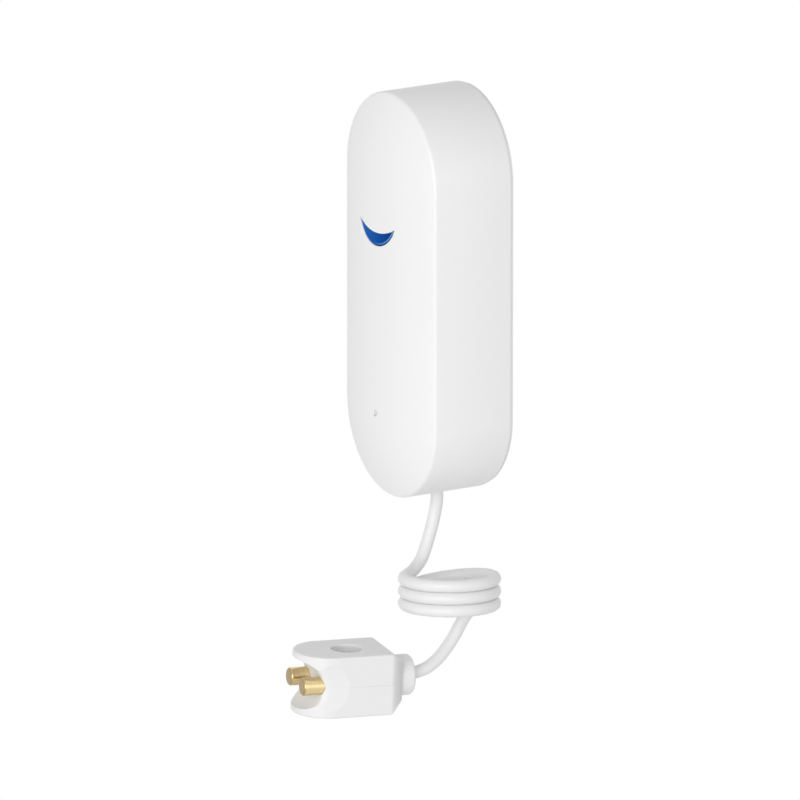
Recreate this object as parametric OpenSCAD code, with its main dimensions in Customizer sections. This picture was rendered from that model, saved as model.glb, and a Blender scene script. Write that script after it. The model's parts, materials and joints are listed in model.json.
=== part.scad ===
// Water leak sensor: a wall-hung alarm body with a probe head on a short coiled lead.
// Origin: on the wall, at the middle of the wall plate's back face.
// +Z is up, +X is to the right seen from the front, and the front faces -Y.
// A depth is a distance from the wall towards the front, so it is -Y.

/* [Body] */
// Height of the body
body_h = 94; // [92:1:104]
// Width of the body, across its two half-round ends
body_w = 39.2; // [38.8:0.2:44]
// Depth of the straight side, from the rear rim to the front rim
side_d = 20.6; // [20.4:0.2:24]
// How far the front stands proud of its rim at the middle
crown_h = 4.2; // [3.6:0.2:5]
// Thickness of the shell
wall = 1.8; // [1.4:0.1:2]
// Gap between the rear rim and the wall
wall_gap = 0.4; // [0.3:0.1:0.5]

/* [Indicator lens] */
// Width of the crescent from tip to tip
lens_w = 15; // [12:0.5:17]
// Height of the crescent from its bottom to its tips
lens_drop = 5; // [4:0.25:6]
// Width of the band at the middle of the crescent
lens_band = 3; // [2.4:0.2:3.2]
// Height of the tips above the middle of the body
lens_tip_z = 17.2; // [14:0.2:20]
// How far the lens lies below the surface
lens_recess = 0.2; // [0.1:0.1:0.4]

/* [Reset switch] */
// Diameter of the pin hole in the front
reset_hole_d = 1.3; // [1:0.1:1.8]
// Height of the pin hole, below the middle of the body
reset_drop = 27; // [25:0.5:28]
// Width of the switch housing
switch_w = 6; // [5:0.5:7]
// Height of the switch housing above the board
switch_h = 3.4; // [3:0.2:3.6]
// Diameter of the plunger
plunger_d = 3.2; // [2.6:0.2:3.6]
// Travel of the plunger
plunger_travel = 0.25; // [0.2:0.05:0.3]

/* [Battery] */
// Diameter of a cell
cell_d = 10.5; // [10:0.1:10.5]
// Length of a cell with its nipple
cell_len = 44.5; // [43:0.5:45]
// Wall of the battery tray
tray_t = 1; // [0.8:0.1:1.2]
// Wire of the cell spring
spring_wire = 0.6; // [0.5:0.1:0.7]

/* [Circuit board] */
// Thickness of the board
board_t = 1; // [0.8:0.1:1.2]
// Width of the board
board_w = 27; // [26:0.5:28]
// Shank of the board screws
board_screw_d = 2; // [1.8:0.1:2.2]

/* [Rear cover] */
// Thickness of the cover's floor
cover_t = 1.4; // [1.2:0.1:1.6]
// Thickness of the cover's visible edge
cover_edge = 0.6; // [0.5:0.1:0.8]
// Shank of the cover screws
cover_screw_d = 2.2; // [2:0.1:2.4]

/* [Wall plate] */
// Width of the plate
plate_w = 24; // [22:0.5:24]
// Height of the plate
plate_h = 48; // [46:1:50]
// Thickness of the plate
plate_t = 2.2; // [2:0.1:2.4]
// How far the body lifts to come off the plate
lift = 8; // [7.8:0.1:8.4]
// Distance between the two wall screws
wall_screw_pitch = 32; // [30:1:34]
// Hole for a wall screw
wall_screw_d = 4.2; // [3.6:0.2:4.6]
// Thickness of the adhesive pad
pad_t = 0.8; // [0.6:0.1:1]

/* [Lead] */
// Diameter of the lead
cord_d = 2.9; // [2.8:0.05:2.95]
// Depth of the lead's exit under the body
cord_exit_depth = 8.9; // [8.8:0.1:9]
// Radius of the coil, at the middle of the lead
coil_r = 10.3; // [10:0.1:10.4]
// Gap between two turns of the coil
coil_gap = 0.5; // [0.45:0.05:0.6]
// How far the middle of the coil hangs below the lead's exit
coil_hang = 20.5; // [20.3:0.1:20.7]
// How far the end of the lead, at the probe head, hangs below its exit
probe_hang = 41.2; // [40.8:0.1:41.6]

/* [Probe head] */
// Width of the head
probe_w = 15.5; // [15:0.1:17]
// Height of the head
probe_h = 14.3; // [14:0.1:16]
// Length of the straight sides, from the shoulder to the round nose
probe_straight = 13.6; // [13:0.1:15]
// Length of the tapered back
probe_taper = 3; // [2.5:0.1:3.5]
// How much the tapered back draws in on each side
probe_taper_in = 2.5; // [2.2:0.1:2.6]
// Radius of the scoop between the two lips
scoop_r = 5.8; // [5.4:0.1:5.8]
// Diameter of a sensing pin
pin_d = 4.2; // [3.8:0.1:4.4]
// Distance between the two pins
pin_pitch = 8.8; // [8.6:0.1:9]
// Hole for the fixing screw
fixing_d = 3.8; // [3.4:0.1:4]
// Counterbore for the fixing screw's head
fixing_head_d = 6.9; // [6.4:0.1:7]
// Diameter of the collar
collar_d = 9.4; // [9:0.1:10]
// Length of the collar
collar_len = 3.7; // [3.4:0.1:4.2]

/* [Hidden] */
$fn = 64;

// Clearances
fit = 0.05;           // between pieces that are seated on each other
slide_gap = 0.4;      // between the body and the wall plate it slides on
stop_gap = 0.1;       // between the pocket's top and the plate it hangs on
seat_gap = 0.3;       // between pieces that only hold each other in place
run_gap = 0.05;       // round the plunger in its housing
cut = 1;              // how far a cutting shape runs past a face
socket_share = 0.45;  // a screw's hexagon socket, as a share of its head

// Depths of the layers, from the wall to the front
shell_back = wall_gap + cover_edge;
rim_depth = wall_gap + side_d;
crown_depth = rim_depth + crown_h;
pocket_depth = plate_t + slide_gap;
cover_in = pocket_depth + cover_t;
tray_back = cover_in + seat_gap;
cell_depth = tray_back + cell_d / 2 + fit;
tray_floor = cell_depth + cell_d / 2 + seat_gap;
tray_front = tray_floor + tray_t;
foot_h = 0.8;
foot_d = 3;
foot_in = 7;
board_back = tray_front + foot_h;
board_front = board_back + board_t;

// Outline and crown of the body
body_r = body_w / 2;
spine = body_h - body_w;
crown_r = (body_r * body_r + crown_h * crown_h) / (2 * crown_h);
crown_facets = 192;
body_bottom = -body_h / 2;
inner_bottom = body_bottom + wall;

// Rear cover
cover_inset = 0.3;
cover_rim = 2;
plug_inset = wall + 2 * fit;
seal_t = 1.2;
seal_w = 0.8;
seal_depth = shell_back + 1;
cover_screw_head_d = 4.4;
cover_screw_head_h = 1.6;
cover_screw_len = 10;
cover_pad_d = cover_screw_head_d + 2.4;
cover_pad_front = wall_gap + 3;
cover_head_depth = cover_pad_front - 1.2;
boss_d = cover_screw_d + 2.8;
cover_screw_x = 9;
cover_screw_in = 10.5;
cover_screw_z = body_h / 2 - cover_screw_in;
cover_screw_spots = [[0, cover_screw_z], [-cover_screw_x, -cover_screw_z], [cover_screw_x, -cover_screw_z]];

// Wall plate, with four tabs that hook behind four ledges of the rear cover
plate_corner = 4;
tab_out = 1.6;
tab_h = 7;
tab_z = 14;
tab_back = 1.5;
ledge_front = tab_back - slide_gap;
pocket_top = plate_h / 2 + stop_gap;
pocket_bottom = -plate_h / 2 - lift - slide_gap;
pocket_half_w = plate_w / 2 + tab_out + slide_gap;
notch_h = tab_h + 2 * seat_gap;
wall_screw_head_d = 6.6;
countersink_h = (wall_screw_head_d - wall_screw_d) / 2;
pad_w = 18;
pad_h = 19;

// Crescent lens: two arcs through the tips
lens_outer_r = (lens_w * lens_w / 4 + lens_drop * lens_drop) / (2 * lens_drop);
lens_inner_drop = lens_drop - lens_band;
lens_inner_r = (lens_w * lens_w / 4 + lens_inner_drop * lens_inner_drop) / (2 * lens_inner_drop);
lens_bottom_z = lens_tip_z - lens_drop;
lens_flange_t = 1;
lens_flange_back = rim_depth + 0.4;
lens_flange_edge = 1.2;
lens_pipe_d = 4;
led_w = 3.2;
led_h = 1.4;
led_case_h = 0.8;
led_dome_d = 2.6;
led_z = lens_bottom_z + lens_band / 2;

// Circuit board and what is on it
board_top_gap = 1.2 + tray_t;
board_bottom_gap = 0.5;
board_top = cover_screw_z - boss_d / 2 - board_top_gap;
board_bottom = -cover_screw_z + boss_d / 2 + board_bottom_gap;
board_post_d = 5;
board_post_x = board_w / 2 - 3;
board_screw_up = 5.2;
board_screw_z = board_bottom + board_screw_up;
board_peg_down = 3.4;
board_peg_z = board_top - board_peg_down;
board_hole_d = board_screw_d + 0.4;
board_screw_head_d = 3.8;
board_screw_head_h = 1.5;
board_screw_len = 5;
shield_w = 14;
shield_t = 0.3;
shield_corner = 0.8;
board_corner = 2;
shield_h = 2.2;
shield_z = -11;
antenna_size = [9, 2.5, 1.2];
plunger_out = 1.2;
plunger_in = 1;

// Battery tray and its contacts
contact_t = 0.4;
contact_w = 8;
tail_w = 2.4;
nipple_d = 3.8;
nipple_h = 0.8;
spring_h = 2.2;
spring_turns = 2;
spring_r_base = 4;
spring_r_tip = 2.2;
tray_in_len = cell_len + spring_h + 2 * contact_t;
tray_in_top = board_top;
tray_in_bottom = tray_in_top - tray_in_len;
cell_x = cell_d / 2 + tray_t / 2 + seat_gap;
tray_in_half = cell_x + cell_d / 2 + seat_gap;

// Lead inside the body
clamp_w = 12;
clamp_h = 3.5;
clamp_t = 2.8;
clamp_gap = 0.6;
clamp_z = inner_bottom + 2.2;
clamp_screw_x = 4;
clamp_screw_d = 2;
clamp_screw_head_d = 3.6;
clamp_screw_len = 7;
grommet_d = cord_d + 2.3;
grommet_flange_d = grommet_d + 2.2;
grommet_flange_h = 1;
grommet_in_z = -spine / 2 - sqrt(pow(body_r - wall, 2) - pow(grommet_flange_d / 2, 2)) + fit;
inner_cord_top = clamp_z + clamp_h + 1;
lead_d = 1.1;
header_w = 8;
header_h = 6;
header_d = 5;
header_wall = 1;
plug_below = 3;
inner_lead_rise = 6.4;
header_bottom = inner_cord_top + inner_lead_rise + plug_below;
plug_nose = 4.5;
plug_depth = board_back - header_d / 2;
inner_lead_x = 0.75;

// Lead outside the body: hand-chosen points from the body to the coil and from the coil to the probe
// A joint is where a straight stretch and the coil's tube meet, and its direction is the lead's there
// All of them are counted from the lead's exit under the body
cord_exit = [0, -cord_exit_depth, body_bottom];
upper_joint = cord_exit + [0.2, -1.7, -9.5];
upper_joint_dir = [0.1, -0.35, -0.95];
coil_in_points = [cord_exit + [1.3, -4.8, -15.6], cord_exit + [2.4, -7.5, -17.3]];
coil_center = cord_exit + [12.5, -4.1, -coil_hang];
coil_out_points = [cord_exit + [11.1, 6.2, -25.2], cord_exit + [8.1, 5.8, -26.6]];
lower_joint = cord_exit + [4.9, 3.5, -31.2];
lower_joint_dir = [-0.25, -0.43, -0.87];
lower_points = [cord_exit + [4.7, -0.3, -36.5], cord_exit + [5.2, -3.4, -39.2]];
probe_place = cord_exit + [5, -10.1, -probe_hang];
probe_yaw = -100.8;
probe_pitch = 2;
coil_yaw = 59.2;
coil_tilt = 5.5;
coil_from = 205;
coil_to = -740;
coil_rings = 24;
coil_sides = 6;
cord_sides = 8;
cord_steps = 3;

// Probe head: X runs along its pins from the shoulder, Y across it, Z up
probe_r = probe_w / 2;
probe_len = probe_straight + probe_r;
probe_skin = 1.4;
taper_down = 2.4;
scoop_side_x = probe_straight + 2.8;
scoop_slope = 6;
scoop_bulge = 5.8;
scoop_power = 5;
scoop_steps = 52;
scoop_sides = 56;
pin_tip_x = probe_len - 0.3;
pin_back_x = 13.8;
pin_tail_d = 1.6;
pin_tail_len = 1.2;
pin_chamfer = 0.35;
fixing_x = 8.9;
fixing_head_h = 5;
fixing_skin = 1.1;
collar_neck_d = 6.2;
collar_flange_d = 8.4;
collar_flange_t = 1.2;
collar_round = 0.9;
cavity_front = pin_back_x - pin_tail_len;
probe_lead_x = 1;

// Colours
white_abs = "#EDEEF0";
plate_white = "#DADCDE";
lens_blue = "#0B57A8";
seal_grey = "#6E7276";
steel = "#B9BCC0";
gold = "#C79A3A";
board_green = "#1E5B3C";
cell_jacket = "#3A4148";
dark_plastic = "#2A2C2F";
lead_red = "#B03A30";
foam_grey = "#8E9296";
ceramic_white = "#E8E4DA";

// Shapes

module slab(from, to) {
    translate([0, -from, 0]) rotate([90, 0, 0]) linear_extrude(to - from) children();
}

module rod(d, from, to) {
    slab(from, to) circle(d / 2);
}

module at(spot) {
    translate([spot[0], 0, spot[1]]) children();
}

module upright(d, from, to) {
    translate([0, 0, from]) cylinder(d = d, h = to - from);
}

module box_between(low, high) {
    translate(low) cube(high - low);
}

module outline(inset) {
    square([body_w - 2 * inset, spine], center = true);
    for (end = [-1, 1]) translate([0, end * spine / 2]) circle(body_r - inset);
}

module rounded(w, h, r) {
    square([w - 2 * r, h], center = true);
    square([w, h - 2 * r], center = true);
    for (sx = [-1, 1], sz = [-1, 1]) translate([sx * (w / 2 - r), sz * (h / 2 - r)]) circle(r);
}

// The body's outline with its pillow-shaped front, drawn in by an inset
module crowned(inset, back) {
    intersection() {
        slab(back, crown_depth) outline(inset);
        translate([0, crown_r - crown_depth, 0]) {
            upright(2 * (crown_r - inset), -spine / 2, spine / 2, $fn = crown_facets);
            for (end = [-1, 1]) translate([0, 0, end * spine / 2]) sphere(crown_r - inset, $fn = crown_facets);
        }
    }
}

module crescent(grow) {
    difference() {
        translate([0, lens_bottom_z + lens_outer_r]) circle(lens_outer_r + grow);
        translate([0, lens_bottom_z + lens_band + lens_inner_r]) circle(lens_inner_r - grow);
    }
}

// A screw that points to the front: its head's back, its head and its shank
module screw(head_d, head_h, shank_d, back, length) {
    difference() {
        rod(head_d, back, back + head_h);
        rod(head_d * socket_share, back - cut, back + head_h * socket_share, $fn = 6);
    }
    rod(shank_d, back + head_h, back + head_h + length);
}

// Tubes: rings of points swept along a path

function unit(v) = v / norm(v);

function tangent(path, i) =
    i == 0 ? unit(path[1] - path[0]) :
    i == len(path) - 1 ? unit(path[i] - path[i - 1]) :
    unit(path[i + 1] - path[i - 1]);

function ring(center, along, side_hint, r, sides) =
    let (across = unit(cross(along, side_hint)), over = cross(across, along))
    [for (k = [0 : sides - 1]) center + r * (cos(360 * k / sides) * across + sin(360 * k / sides) * over)];

function spline_point(p, i, t) =
    let (a = p[max(i - 1, 0)], b = p[i], c = p[i + 1], d = p[min(i + 2, len(p) - 1)])
    0.5 * ((2 * b) + (c - a) * t + (2 * a - 5 * b + 4 * c - d) * t * t + (3 * b - a - 3 * c + d) * t * t * t);

// A smooth path through hand-chosen points, with a straight stretch kept at each end
function smooth_path(p, steps) =
    concat([p[0]],
           [for (i = [1 : len(p) - 3], s = [0 : steps - 1]) spline_point(p, i, s / steps)],
           [p[len(p) - 2], p[len(p) - 1]]);

module tube(path, d, sides, side_hint) {
    count = len(path);
    points = [for (i = [0 : count - 1]) each ring(path[i], tangent(path, i), side_hint, d / 2, sides)];
    walls = [for (i = [0 : count - 2], k = [0 : sides - 1])
        let (a = i * sides + k, b = i * sides + (k + 1) % sides)
        each [[a, b, a + sides], [b, b + sides, a + sides]]];
    last = (count - 1) * sides;
    near_cap = [for (k = [1 : sides - 2]) [0, k + 1, k]];
    far_cap = [for (k = [1 : sides - 2]) [last, last + k, last + k + 1]];
    polyhedron(points, concat(walls, near_cap, far_cap));
}

function path_length(path) = len(path) < 2 ? 0 : sum_steps(path, 0, 0);
function sum_steps(path, i, total) =
    i == len(path) - 1 ? total : sum_steps(path, i + 1, total + norm(path[i + 1] - path[i]));

// The coil: level round its front half, dropping one pitch round its back half

coil_pitch = cord_d + coil_gap;
coil_right = [cos(coil_yaw), sin(coil_yaw), 0];
coil_front = [sin(coil_yaw) * cos(coil_tilt), -cos(coil_yaw) * cos(coil_tilt), sin(coil_tilt)];
coil_up = cross(coil_front, coil_right);
coil_count = ceil((coil_from - coil_to) * coil_rings / 360);

function coil_drop(angle) =
    let (turns = (180 - angle) / 360, whole = floor(turns), part = turns - whole)
    whole + (part < 0.5 ? 0 : (1 - cos((part - 0.5) * 360)) / 2);

function coil_point(angle) =
    coil_center + coil_r * (cos(angle) * coil_right + sin(angle) * coil_front)
    + coil_pitch * (1 - coil_drop(angle)) * coil_up;

coil_turns = [for (i = [0 : coil_count]) coil_point(coil_from + (coil_to - coil_from) * i / coil_count)];
upper_straight = cord_d * unit(upper_joint_dir);
lower_straight = cord_d * unit(lower_joint_dir);
coil_in = smooth_path(concat([upper_joint, upper_joint + upper_straight], coil_in_points,
                             [coil_turns[0], coil_turns[1]]), cord_steps);
coil_out = smooth_path(concat([coil_turns[coil_count - 1], coil_turns[coil_count]], coil_out_points,
                              [lower_joint - lower_straight, lower_joint]), cord_steps);
coil_path = concat(coil_in, [for (i = [2 : coil_count - 2]) coil_turns[i]], coil_out);

probe_dir = [cos(probe_yaw) * cos(probe_pitch), sin(probe_yaw) * cos(probe_pitch), sin(probe_pitch)];
upper_path = smooth_path([cord_exit, cord_exit - [0, 0, cord_d], upper_joint - upper_straight, upper_joint],
                         cord_steps);
lower_path = smooth_path(concat([lower_joint, lower_joint + lower_straight], lower_points,
                                [probe_place - cord_d * probe_dir, probe_place]), cord_steps);

coil_least_gap = min([for (i = [0 : len(coil_path) - 1], j = [i + coil_rings / 2 : len(coil_path) - 1])
    norm(coil_path[i] - coil_path[j])]) - cord_d;
echo("coil_least_gap_mm", coil_least_gap);
echo("lead_length_mm", path_length(upper_path), path_length(coil_path), path_length(lower_path));

// Wall plate

module plate_tabs() {
    for (sx = [-1, 1], sz = [-1, 1])
        translate([sx * (plate_w / 2 + tab_out / 2), sz * tab_z]) square([tab_out + cut, tab_h], center = true);
}

module wall_plate() {
    color(plate_white) difference() {
        union() {
            slab(0, plate_t) rounded(plate_w, plate_h, plate_corner);
            slab(tab_back, plate_t) intersection() {
                plate_tabs();
                square([plate_w + 2 * tab_out, plate_h], center = true);
            }
        }
        slab(-cut, pad_t) square([pad_w + 2 * fit, pad_h + 2 * fit], center = true);
        for (sz = [-1, 1]) at([0, sz * wall_screw_pitch / 2]) {
            rod(wall_screw_d, -cut, plate_t + cut);
            translate([0, -plate_t - fit, 0]) rotate([-90, 0, 0])
                cylinder(d1 = wall_screw_head_d + 2 * fit, d2 = wall_screw_d, h = countersink_h + fit);
        }
    }
}

module adhesive_pad() {
    color(foam_grey) slab(0, pad_t) square([pad_w, pad_h], center = true);
}

// Rear cover, with the pocket that takes the wall plate

module pocket_box(grow) {
    translate([0, (pocket_top + pocket_bottom) / 2])
        square([2 * (pocket_half_w + grow), pocket_top - pocket_bottom + 2 * grow], center = true);
}

module pocket_mouth() {
    translate([0, (pocket_top + pocket_bottom) / 2])
        square([plate_w + 2 * slide_gap, pocket_top - pocket_bottom], center = true);
    for (sx = [-1, 1], sz = [-1, 1])
        translate([sx * pocket_half_w / 2, sz * tab_z - lift]) square([pocket_half_w, notch_h], center = true);
}

module rear_cover() {
    color(plate_white) difference() {
        union() {
            slab(wall_gap, shell_back) outline(cover_inset);
            slab(shell_back, cover_in) outline(plug_inset);
        }
        difference() {
            slab(wall_gap + cover_t, cover_in + cut) difference() {
                outline(plug_inset + cover_rim);
                pocket_box(cover_t);
            }
            for (spot = cover_screw_spots) at(spot) rod(cover_pad_d, wall_gap, cover_pad_front);
        }
        slab(ledge_front, pocket_depth) pocket_box(0);
        slab(0, pocket_depth) pocket_mouth();
        slab(seal_depth - fit, seal_depth + seal_t + fit) difference() {
            outline(wall);
            outline(plug_inset + seal_w);
        }
        for (spot = cover_screw_spots) at(spot) {
            rod(cover_screw_head_d + 2 * seat_gap, 0, cover_head_depth);
            rod(cover_screw_d + 2 * fit, 0, cover_in + cut);
        }
    }
}

module cover_seal() {
    color(seal_grey) slab(seal_depth, seal_depth + seal_t) difference() {
        outline(wall + fit);
        outline(plug_inset + seal_w - fit);
    }
}

module cover_screws() {
    color(steel) for (spot = cover_screw_spots) at(spot)
        screw(cover_screw_head_d, cover_screw_head_h, cover_screw_d,
              cover_head_depth - cover_screw_head_h, cover_screw_len);
}

// Front shell, with its bosses, board posts and lead saddle

module board_spots(z) {
    for (sx = [-1, 1]) at([sx * board_post_x, z]) children();
}

module shell_posts() {
    intersection() {
        union() {
            for (spot = cover_screw_spots) at(spot) rod(boss_d, cover_pad_front, crown_depth);
            board_spots(board_screw_z) rod(board_post_d, board_front, crown_depth);
            board_spots(board_peg_z) rod(board_post_d, board_front, crown_depth);
            slab(cord_exit_depth + clamp_gap / 2, crown_depth)
                translate([0, clamp_z + clamp_h / 2]) square([clamp_w, clamp_h], center = true);
        }
        crowned(wall / 2, 0);
    }
    board_spots(board_peg_z) rod(board_screw_d, board_back - fit, board_front + cut);
}

module along_lead(d, from, to) {
    translate([0, -cord_exit_depth, 0]) upright(d, from, to);
}

module front_shell() {
    color(white_abs) difference() {
        union() {
            difference() {
                crowned(0, shell_back);
                crowned(wall, 0);
            }
            shell_posts();
        }
        slab(board_front, crown_depth + cut) crescent(fit);
        at([0, -reset_drop]) rod(reset_hole_d, board_front, crown_depth + cut);
        along_lead(grommet_d + 2 * fit, body_bottom - cut, inner_bottom + cut);
        along_lead(cord_d + 2 * fit, inner_bottom, inner_cord_top);
        for (spot = cover_screw_spots) at(spot)
            rod(cover_screw_d + 2 * fit, 0, cover_head_depth + cover_screw_len + seat_gap);
        board_spots(board_screw_z) rod(board_screw_d + 2 * fit, 0, board_back + board_screw_len + seat_gap);
        for (sx = [-1, 1]) at([sx * clamp_screw_x, clamp_z + clamp_h / 2])
            rod(clamp_screw_d + 2 * fit, 0,
                cord_exit_depth - clamp_gap / 2 - clamp_t + clamp_screw_len + seat_gap);
    }
}

// Indicator

module indicator_lens() {
    color(lens_blue) {
        intersection() {
            slab(lens_flange_back, crown_depth) crescent(0);
            crowned(lens_recess, 0);
        }
        intersection() {
            slab(lens_flange_back, lens_flange_back + wall + lens_flange_t)
                translate([0, lens_bottom_z + lens_drop / 2])
                    square([lens_w + 2 * lens_flange_edge, lens_drop + 2 * lens_flange_edge], center = true);
            crowned(wall + fit, 0);
        }
        at([0, led_z]) rod(lens_pipe_d, board_front + led_h + seat_gap, lens_flange_back + fit);
    }
}

module status_led() {
    color(ceramic_white) at([0, led_z]) {
        slab(board_front, board_front + led_case_h) square(led_w, center = true);
        rod(led_dome_d, board_front + led_case_h, board_front + led_h);
    }
}

// Circuit board

module circuit_board() {
    color(board_green) difference() {
        slab(board_back, board_front)
            translate([0, (board_top + board_bottom) / 2])
                rounded(board_w, board_top - board_bottom, board_corner);
        board_spots(board_screw_z) rod(board_hole_d, board_back - cut, board_front + cut);
        board_spots(board_peg_z) rod(board_hole_d, board_back - cut, board_front + cut);
    }
}

module board_screws() {
    color(steel) board_spots(board_screw_z)
        screw(board_screw_head_d, board_screw_head_h, board_screw_d,
              board_back - board_screw_head_h, board_screw_len);
}

module radio_shield() {
    color(steel) difference() {
        slab(board_front, board_front + shield_h)
            translate([0, shield_z]) rounded(shield_w, shield_w, shield_corner);
        slab(board_front - cut, board_front + shield_h - shield_t)
            translate([0, shield_z]) square(shield_w - 2 * shield_t, center = true);
    }
}

module radio_antenna() {
    color(ceramic_white) slab(board_front, board_front + antenna_size[2])
        translate([0, board_top - antenna_size[1]]) square([antenna_size[0], antenna_size[1]], center = true);
}

module reset_switch() {
    color(dark_plastic) at([0, -reset_drop]) difference() {
        slab(board_front, board_front + switch_h) square(switch_w, center = true);
        rod(plunger_d + 2 * run_gap, board_front + switch_h - plunger_in - plunger_travel - seat_gap,
            board_front + switch_h + cut);
    }
}

module reset_plunger() {
    color(white_abs) at([0, -reset_drop])
        rod(plunger_d, board_front + switch_h - plunger_in, board_front + switch_h + plunger_out);
}

// Battery tray, cells and contacts

module tray_area(grow) {
    translate([0, (tray_in_bottom + tray_in_top) / 2])
        square([2 * (tray_in_half + grow), tray_in_len + 2 * grow], center = true);
}

module tail_spots() {
    for (sx = [-1, 1]) translate([sx * cell_x, tray_in_bottom + contact_t / 2]) children();
}

module battery_tray() {
    color(dark_plastic) {
        difference() {
            slab(tray_back, tray_front) tray_area(tray_t);
            difference() {
                slab(tray_back - cut, tray_floor) tray_area(0);
                slab(cell_depth, tray_floor + cut)
                    translate([0, (tray_in_bottom + tray_in_top) / 2])
                        square([tray_t, tray_in_len / 2], center = true);
            }
            slab(tray_floor - cut, tray_front + cut)
                tail_spots() square([tail_w + 2 * seat_gap, contact_t + 2 * fit], center = true);
        }
        for (sx = [-1, 1], z = [tray_in_bottom + foot_in, tray_in_top - foot_in])
            at([sx * (tray_in_half - foot_d), z]) rod(foot_d, tray_floor + fit, board_back);
    }
}

module battery_cell(x, bottom, up) {
    color(cell_jacket) translate([x, -cell_depth, bottom + cell_len / 2]) mirror([0, 0, up ? 0 : 1]) {
        upright(cell_d, -cell_len / 2, cell_len / 2 - nipple_h);
        upright(nipple_d, -cell_len / 2, cell_len / 2);
    }
}

module battery_cell_left() {
    battery_cell(-cell_x, tray_in_bottom + contact_t + spring_h, true);
}

module battery_cell_right() {
    battery_cell(cell_x, tray_in_bottom + contact_t, false);
}

// A conical spring that stands on a contact at z = 0
module cell_spring() {
    rings = 14 * spring_turns;
    path = [for (i = [0 : rings])
        let (part = i / rings, r = spring_r_base + (spring_r_tip - spring_r_base) * part)
        [r * cos(360 * spring_turns * part), r * sin(360 * spring_turns * part),
         spring_wire / 3 + (spring_h - spring_wire) * part]];
    tube(path, spring_wire, coil_sides, [0, 0, 1]);
}

module contact_plate(x, z) {
    translate([x - contact_w / 2, -cell_depth - contact_w / 2, z]) cube([contact_w, contact_w, contact_t]);
}

module contact_tail(x) {
    box_between([x - tail_w / 2, -board_back, tray_in_bottom],
                [x + tail_w / 2, -cell_depth, tray_in_bottom + contact_t]);
}

module spring_contact() {
    color(steel) {
        contact_plate(-cell_x, tray_in_bottom);
        contact_tail(-cell_x);
        translate([-cell_x, -cell_depth, tray_in_bottom + contact_t]) cell_spring();
    }
}

module plus_contact() {
    color(steel) {
        contact_plate(cell_x, tray_in_bottom);
        contact_tail(cell_x);
    }
}

module bridge_contact() {
    top = tray_in_top - contact_t;
    color(steel) {
        for (x = [-cell_x, cell_x]) contact_plate(x, top);
        box_between([-cell_x, -cell_depth - contact_w / 4, top],
                    [cell_x, -cell_depth + contact_w / 4, top + contact_t]);
        translate([cell_x, -cell_depth, top]) mirror([0, 0, 1]) cell_spring();
    }
}

// The lead's inner end

module header_block(w, low, high, half_depth) {
    box_between([-w / 2, -plug_depth - half_depth, low], [w / 2, -plug_depth + half_depth, high]);
}

module probe_header() {
    color(ceramic_white) difference() {
        header_block(header_w, header_bottom, header_bottom + header_h, header_d / 2);
        header_block(header_w - 2 * header_wall, header_bottom - cut, header_bottom + header_h - header_wall,
                     header_d / 2 - header_wall);
    }
}

module probe_plug() {
    color(white_abs) {
        header_block(header_w - header_wall, header_bottom - plug_below, header_bottom - fit,
                     header_d / 2 - fit);
        header_block(header_w - 2 * header_wall - 2 * fit, header_bottom - cut, header_bottom + plug_nose,
                     header_d / 2 - header_wall - fit);
    }
}

module inner_leads() {
    top = header_bottom - plug_below;
    reach = plug_depth - cord_exit_depth;
    color(lead_red) for (sx = [-1, 1]) {
        x = sx * inner_lead_x;
        route = [[x, -cord_exit_depth, inner_cord_top],
                 [x, -cord_exit_depth, inner_cord_top + lead_d],
                 [x * 1.2, -cord_exit_depth - reach * 0.2, inner_cord_top + inner_lead_rise * 0.38],
                 [x * 1.6, -cord_exit_depth - reach * 0.8, inner_cord_top + inner_lead_rise * 0.62],
                 [x * 1.8, -plug_depth, top - lead_d],
                 [x * 1.8, -plug_depth, top]];
        tube(smooth_path(route, cord_steps), lead_d, coil_sides, [1, 0, 0]);
    }
}

module inner_cord() {
    color(white_abs) along_lead(cord_d, grommet_in_z + grommet_flange_h, inner_cord_top);
}

module cord_clamp() {
    front = cord_exit_depth - clamp_gap / 2;
    color(dark_plastic) difference() {
        slab(front - clamp_t, front)
            translate([0, clamp_z + clamp_h / 2]) square([clamp_w, clamp_h], center = true);
        along_lead(cord_d + 2 * fit, inner_bottom, inner_cord_top);
        for (sx = [-1, 1]) at([sx * clamp_screw_x, clamp_z + clamp_h / 2])
            rod(clamp_screw_d + 2 * fit, 0, front + cut);
    }
}

module clamp_screws() {
    back = cord_exit_depth - clamp_gap / 2 - clamp_t - board_screw_head_h;
    color(steel) for (sx = [-1, 1]) at([sx * clamp_screw_x, clamp_z + clamp_h / 2])
        screw(clamp_screw_head_d, board_screw_head_h, clamp_screw_d, back,
              clamp_screw_len - board_screw_head_h);
}

module cord_grommet() {
    color(white_abs) {
        intersection() {
            along_lead(grommet_d, body_bottom - cut, grommet_in_z + grommet_flange_h);
            union() {
                crowned(0, 0);
                along_lead(grommet_d, inner_bottom, grommet_in_z + grommet_flange_h);
            }
        }
        along_lead(grommet_flange_d, grommet_in_z, grommet_in_z + grommet_flange_h);
    }
}

// The lead outside the body

module cord_upper() {
    color(white_abs) tube(upper_path, cord_d, cord_sides, coil_right);
}

module cord_coil() {
    color(white_abs) tube(coil_path, cord_d, coil_sides, coil_up);
}

module cord_lower() {
    color(white_abs) tube(lower_path, cord_d, cord_sides, [1, 0, 0]);
}

// Probe head

module at_probe() {
    translate(probe_place) rotate([0, -probe_pitch, probe_yaw])
        translate([collar_len + probe_taper, 0, 0]) children();
}

module lying(d, from, to) {
    translate([from, 0, 0]) rotate([0, 90, 0]) cylinder(d = d, h = to - from);
}

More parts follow.
